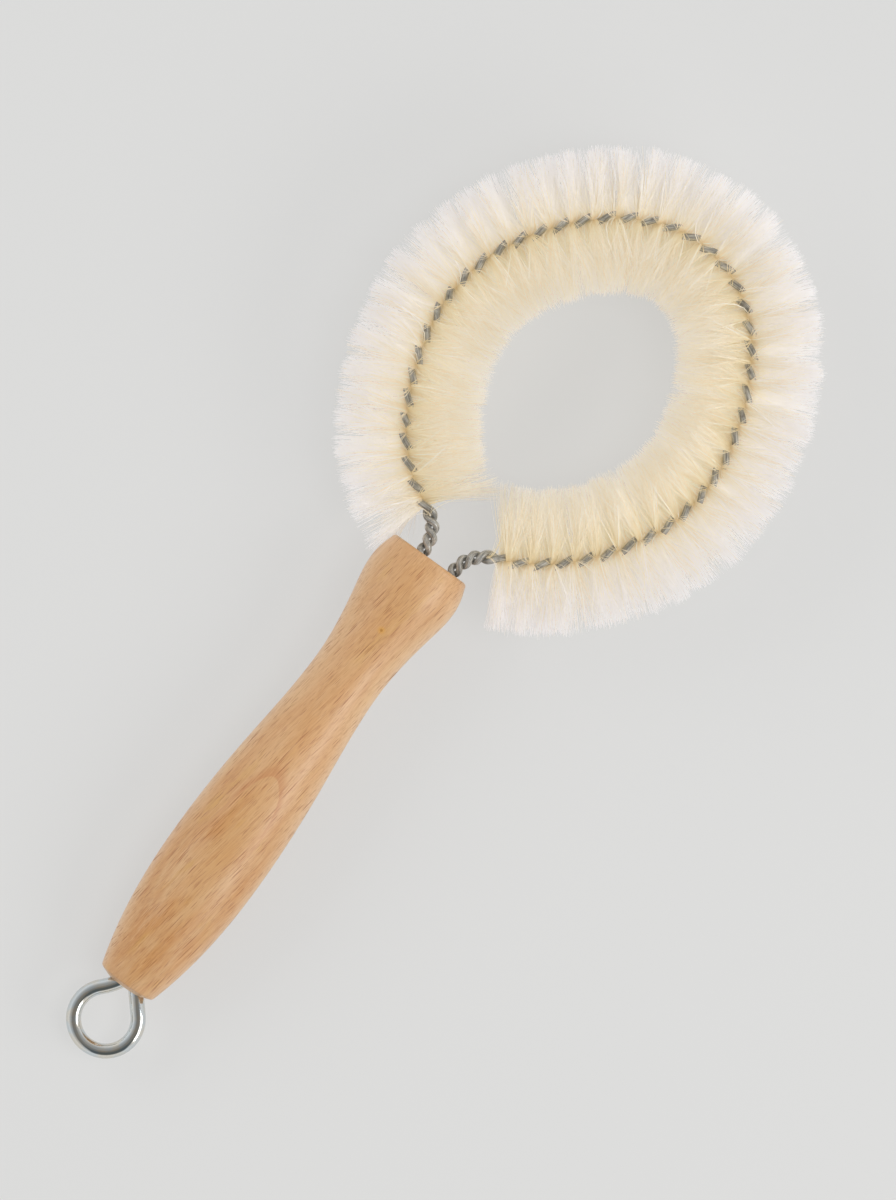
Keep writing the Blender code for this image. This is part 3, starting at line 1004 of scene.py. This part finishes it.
def bent_fibres(given, line, points):
    """A curve for each point, from root over knee to tip, and never below the ground."""
    straight = line.node("GeometryNodeCurvePrimitiveLine", None, {"End": Vector((0, 0, 1))})
    straight = straight.node("GeometryNodeResampleCurve", None,
                             {0: straight, "Count": given["Points"]})
    fibres = points.node("GeometryNodeInstanceOnPoints", None, {0: points, "Instance": straight})
    fibres = fibres.node("GeometryNodeRealizeInstances", None, {0: fibres})
    share = line.node("GeometryNodeSplineParameter").math("POWER", bend_ease)
    rest = 1 - share
    place = (named(line, "root", "FLOAT_VECTOR") * (rest * rest)
             + named(line, "knee", "FLOAT_VECTOR") * (rest * share * 2)
             + named(line, "tip", "FLOAT_VECTOR") * (share * share))
    parts = place.node("ShaderNodeSeparateXYZ", None, {0: place})
    ground = given["Fibre Radius"] - (given["Lift"] + parts * given["Ground Slope"])
    above = place.node("ShaderNodeCombineXYZ", None,
                       {"X": parts, "Y": parts.out("Y"),
                        "Z": parts.out("Z").math("MAXIMUM", ground)})
    fibres = fibres.node("GeometryNodeSetPosition", None, {0: fibres, "Position": above})
    return stored_on(fibres, "share", share, "FLOAT")


def bristle_tree(inputs):
    """Half fibres along a stretch of the stem, each from between the wires to its tip."""
    given = new_tree("bristles", inputs)
    line = given["Geometry"].node("GeometryNodeMeshToCurve", None, {0: given["Geometry"]})
    fibres = bent_fibres(given, line, fibre_ends(given, line))
    section = line.node("GeometryNodeCurvePrimitiveCircle", None,
                        {"Resolution": given["Sides"], "Radius": given["Fibre Radius"]})
    around = section.node("GeometryNodeSplineParameter")
    section = stored_on(section, "around", around, "FLOAT")
    share = named(line, "share")
    taper = (1 - share * share * tip_taper_share) * named(line, "girth")
    hairs = fibres.node("GeometryNodeCurveToMesh", None,
                        {0: fibres, "Profile Curve": section, "Scale": taper, "Fill Caps": True})
    hairs = hairs.node("GeometryNodeSetShadeSmooth", None, {0: hairs, "Shade Smooth": True})
    strip = line.node("ShaderNodeCombineXYZ", None,
                      {"X": share * (1 - 2 * strip_margin) + strip_margin,
                       "Y": named(line, "tint") + named(line, "around") * side_room})
    hairs = stored_on(hairs, strip_map, strip, "FLOAT2", "CORNER")
    for name in ("root", "knee", "tip", "share", "around", "tint", "girth"):
        hairs = hairs.node("GeometryNodeRemoveAttribute", None, {0: hairs, "Name": name})
    close_tree(hairs, given["Material"])
    return line.tree


def bristle_finish():
    """Cream bristle, yellower at the root and whitish at the tip, and paler round the outside."""
    material, shader, places = new_finish("bristle")
    strip = places.node("ShaderNodeUVMap", {"uv_map": strip_map})
    parts = strip.node("ShaderNodeSeparateXYZ", None, {0: strip})
    along, which = parts, parts.out("Y")

    def shades(stops):
        """The colour along the fibre, which changes between these stops."""
        stops = [(place, shown(*colour)) for place, colour in stops]
        return along.node("ShaderNodeValToRGB", {"stops": stops}, {0: along})

    outside = which.math("GREATER_THAN", outside_half)
    tone = outside.mix(shades(inside_shades), shades(outside_shades))
    # The tint's yellow holds each fibre's own yellow and the painted paling of fibres in the wire's
    # shade
    yellow_and_shade_paling = which.math("MODULO", outside_half)
    tone = yellow_and_shade_paling.over(yellow_and_shade_paling.over(tone, *yellow_hair), *white_hair)

    # A weak glow of its own colour stands for the light that goes through the fibres
    # It is strongest at the root, where it lifts the shade among the fibres
    feed(shader, Base_Color=tone, Roughness=0.5, Emission_Color=along.over(tone, *glow_fade),
         Emission_Strength=glow_strength)
    return material


bristle_inputs = {
    "Start": fill_start, "End": fill_end, "Seed": 0, "Count": fibres_each,
    "Fibre Radius": fibre_radius, "Points": fibre_points, "Sides": fibre_sides,
    "Reach": bristle_reach, "Inner Extra": inner_extra, "Trim": bristle_trim,
    "Root Start": root_start, "Gap Pull": gap_pull,
    "Knee Reach": knee_reach, "Knee Shift": knee_shift,
    "Lock Width": lock_width, "Wisp Width": wisp_width,
    "Fill Start": fill_start, "Fill End": fill_end, "Splay Length": splay_length,
    "Start Splay": start_splay, "Start Skew": start_skew,
    "End Splay": end_splay, "End Skew": end_skew,
    "Slipped Share": slipped_share, "Slipped Rise": slipped_rise,
    "Slipped Aside": slipped_aside, "Slipped Over": slipped_over,
    "Stout Share": stout_share, "Stout Girth": stout_girth,
    "Twist Rate": 2 * math.pi * fill_turns / (fill_end - fill_start),
    "Lift": lift / math.cos(tilt), "Ground Slope": math.tan(tilt),
    "Material": bristle_finish(),
}
growing = bristle_tree(bristle_inputs)
for k in range(tuft_count):
    own_inputs = {"Start": fill_start + k * tuft_length,
                  "End": fill_start + (k + 1) * tuft_length, "Seed": k + 1}
    tuft = laid_down(f"bristles_{k + 1:02d}",
                     made_by(growing, stem_line, bristle_inputs | own_inputs))
    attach(tuft, "root")
    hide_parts(f"bristle_tuft_{k + 1:02d}")
bpy.data.objects.remove(stem_line, do_unlink=True)

# Floor and light
# A pale, even floor that melts into the backdrop, under a light tent: soft light from all round
# the horizon, a large soft box at the brush's right, a weaker one at its left and one over it.
floor_colour = shown(221, 221, 220)
floor_half = 3.0
shadow_share = 0.3
far_floor = (0.3, 1.0)

# Light of the tent, whose colours are linear, and where it changes over the sky
tent_strength = 0.8
tent_top_share = 0.42
tent_darkens = (0.15, 1.0)
picture_up = Vector((0.8122, 0.5834, 0))
picture_right = picture_up.cross(Vector((0, 0, 1)))
gap_sides = (0.44, 0.34)
gap_foot = (-0.16, -0.02)
gap_height = (0.3, 0.6)
gap_darkens = (0.1, 0.5)
gap_grey = (0.24, 0.225, 0.205, 1)
gap_dark = (0.1, 0.115, 0.12, 1)


def floor_finish():
    """The floor shows the camera its own colour, with a part of each shadow near the brush."""
    material, shader, places = new_finish("floor")
    feed(shader, Base_Color=floor_colour, Roughness=0.9)
    ray = places.node("ShaderNodeLightPath")
    seen = ray.math("MAXIMUM", ray.out("Is Glossy Ray")).math(
        "MAXIMUM", ray.out("Is Transmission Ray"))
    glow = places.node("ShaderNodeEmission", None, {"Color": floor_colour, "Strength": 1.0})
    away = places.node("ShaderNodeVectorMath", {"operation": "LENGTH"}, {0: places}, "Value")
    glow_part = 1 - shadow_share + away.rise(*far_floor) * shadow_share
    lit = Value(places.tree, shader.outputs[0])
    both = places.node("ShaderNodeMixShader", None, {0: seen * glow_part, 1: lit, 2: glow})
    places.tree.links.new(both.socket, places.tree.nodes["Material Output"].inputs["Surface"])
    return material


def towards(direction, way):
    """How far a direction goes the way given, from -1 to 1."""
    return direction.node("ShaderNodeVectorMath", {"operation": "DOT_PRODUCT"},
                          {0: direction, 1: way}, "Value")


def soft_box(name, bearing, elevation, distance, width, height, watts, in_reflections):
    """An area lamp that looks at the brush. Bearings, from +X to +Y, and elevations are degrees."""
    lamp = bpy.data.lights.new(name, "AREA")
    lamp.shape = "RECTANGLE"
    lamp.size = width
    lamp.size_y = height
    lamp.energy = watts
    obj = bpy.data.objects.new(name, lamp)
    scene.collection.objects.link(obj)
    bearing = math.radians(bearing)
    elevation = math.radians(elevation)
    way = Vector((math.cos(elevation) * math.cos(bearing),
                  math.cos(elevation) * math.sin(bearing), math.sin(elevation)))
    obj.location = way * distance
    obj.rotation_euler = way.to_track_quat("Z", "Y").to_euler()
    obj.visible_camera = False
    obj.visible_glossy = in_reflections


bpy.ops.mesh.primitive_plane_add(size=2 * floor_half)
floor = bpy.context.object
floor.name = "floor"
floor.data.materials.append(floor_finish())

world = bpy.data.worlds.new("light_tent")
world.use_nodes = True
scene.world = world
sky = world.node_tree
direction = Value(sky, sky.nodes.new("ShaderNodeTexCoord").outputs["Generated"])
height = direction.node("ShaderNodeSeparateXYZ", None, {0: direction}).out("Z")
ray = direction.node("ShaderNodeLightPath")
tent = height.math("ABSOLUTE").rise(*tent_darkens).mix(
    (tent_strength,) * 3 + (1,), (tent_strength * tent_top_share,) * 3 + (1,))
# Gap of the tent over the brush, where the camera stands: it darkens towards the picture's foot
foot = towards(direction, -picture_up)
aside = towards(direction, picture_right).math("ABSOLUTE")
gap = aside.rise(*gap_sides) * foot.rise(*gap_foot) * height.rise(*gap_height)
tent = gap.mix(tent, foot.rise(*gap_darkens).mix(gap_grey, gap_dark))
tent = ray.mix(tent, floor_colour)
sky.links.new(tent.socket, sky.nodes["Background"].inputs["Color"])

soft_box("right_soft_box", bearing=-84, elevation=36, distance=0.9, width=0.7, height=0.4,
         watts=3.0, in_reflections=True)
soft_box("left_soft_box", bearing=100, elevation=36, distance=0.9, width=0.7, height=0.5,
         watts=2.3, in_reflections=False)
soft_box("top_soft_box", bearing=-70, elevation=74, distance=1.3, width=0.5, height=0.5,
         watts=3.4, in_reflections=False)

# Camera
# It looks straight down on the brush's plane from a little over a metre, with the handle at
# the lower left of the picture and the loop at the upper right.
picture_height = 1200
pixels_per_metre = 4200
look_at = Vector((0.1195, -0.0090, 0))
# As on any camera, these two are in millimetres
lens = 150
film = 36

camera_data = bpy.data.cameras.new("camera")
camera_data.lens = lens
camera_data.sensor_width = film
camera = bpy.data.objects.new("camera", camera_data)
scene.collection.objects.link(camera)
distance = picture_height / pixels_per_metre * lens / film
up = (lie.to_3x3() @ picture_up).normalized()
back = (lie.to_3x3() @ Vector((0, 0, 1))).normalized()
right = up.cross(back)
camera.matrix_world = Matrix.Translation(lie @ look_at + back * distance) @ Matrix(
    (right, up, back)).transposed().to_4x4()
scene.camera = camera

scene.view_settings.view_transform = "Standard"
